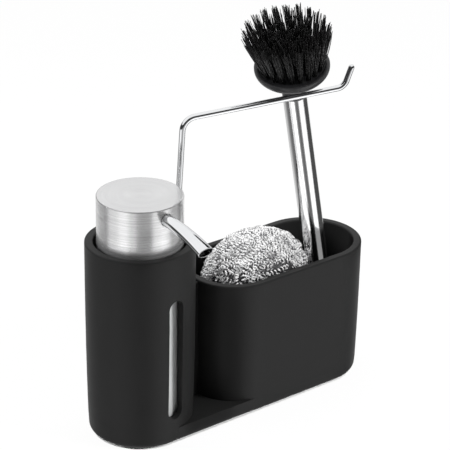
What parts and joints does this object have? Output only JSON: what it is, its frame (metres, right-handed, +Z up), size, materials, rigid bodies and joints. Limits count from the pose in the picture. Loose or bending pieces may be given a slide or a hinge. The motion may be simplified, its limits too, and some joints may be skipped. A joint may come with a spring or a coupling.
{
  "type": "soap pump caddy",
  "caption": "Cast sink caddy with a pump soap dispenser in a tall sleeve, an open cup holding a dish brush and a metal scourer, and a swivelling towel rail.",
  "frame": {"origin": "under the middle of the holder's base, on the surface that it stands on", "axes": "+X runs along the holder from the pump's sleeve to the cup, +Y points to the back, away from the spout, and +Z is up"},
  "size_m": [0.211, 0.1022, 0.262],
  "materials": {
    "cast_black": "matte cast resin, very fine grain",
    "pad_black": "fine matte foam",
    "socket_grey": "moulded, satin",
    "rail_chrome": "polished",
    "bottle_white": "translucent, satin",
    "pump_white": "moulded, satin",
    "gasket_grey": "soft seal",
    "valve_steel": "bright",
    "cap_steel": "brushed round the side, fine radial sheen on top",
    "spout_chrome": "polished",
    "feed_black": "dark moulded",
    "handle_steel": "satin with fine lengthwise brushing",
    "brush_black": "satin moulded",
    "bristle_black": "nylon, faint sheen",
    "scourer_metal": "curled bright ribbon"
  },
  "bodies": {
    "holder": {"caddy_body": "cast_black", "base_pad": "pad_black", "rail_socket": "socket_grey"},
    "rail": {"towel_rail": "rail_chrome"},
    "bottle": {"soap_bottle": "bottle_white"},
    "pump": {"pump_barrel": "pump_white", "barrel_collar": "pump_white", "ball_retainer": "pump_white", "dip_tube": "pump_white", "neck_gasket": "gasket_grey", "return_spring": "valve_steel"},
    "closure": {"screw_closure": "pump_white"},
    "valve_ball": {"inlet_ball": "valve_steel"},
    "plunger": {"pump_stem": "pump_white", "piston": "pump_white", "piston_seal": "gasket_grey"},
    "pump_head": {"cap_shell": "cap_steel", "cap_core": "pump_white", "spout": "spout_chrome", "feed_tube": "feed_black"},
    "brush": {"brush_handle": "handle_steel", "handle_foot": "brush_black", "brush_neck": "brush_black", "brush_head": "brush_black", "tuft_plate": "brush_black", "bristles": "bristle_black"},
    "scourer": {"scourer": "scourer_metal"}
  },
  "joints": [
    {"name": "rail_swing", "type": "hinge", "parent": "holder", "child": "rail", "pos_m": [-0.034, 0.012, 0.09], "axis": [0, 0, 1], "range_deg": [-80, 0]},
    {"name": "dispenser_lift", "type": "slide", "parent": "holder", "child": "bottle", "axis": [0, 0, 1], "range_m": [0, 0.13]},
    {"name": "pump_rise", "type": "slide", "parent": "bottle", "child": "pump", "axis": [0, 0, 1], "range_m": [0, 0.0045]},
    {"name": "closure_turn", "type": "hinge", "parent": "pump", "child": "closure", "pos_m": [-0.0705, 0, 0.115], "axis": [0, 0, 1], "range_deg": [0, 540]},
    {"name": "ball_lift", "type": "slide", "parent": "pump", "child": "valve_ball", "axis": [0, 0, 1], "range_m": [0, 0.0015]},
    {"name": "pump_press", "type": "slide", "parent": "pump", "child": "plunger", "axis": [0, 0, -1], "range_m": [0, 0.012], "stiffness_N_per_m": 400, "springref_m": -0.012, "deforming": ["return_spring"]},
    {"name": "spout_swivel", "type": "hinge", "parent": "plunger", "child": "pump_head", "pos_m": [-0.0705, 0, 0.156], "axis": [0, 0, 1], "range_deg": [-235, 60]},
    {"name": "brush_lift", "type": "slide", "parent": "holder", "child": "brush", "axis": [-0.1857, 0, 0.9826], "range_m": [0, 0.12]},
    {"name": "scourer_lift", "type": "slide", "parent": "holder", "child": "scourer", "axis": [-0.1857, 0, 0.9826], "range_m": [0, 0.06]}
  ],
  "couplings": [
    {"joint": "closure_turn", "follows": "pump_rise", "rad_per_m": 2094.4}
  ]
}
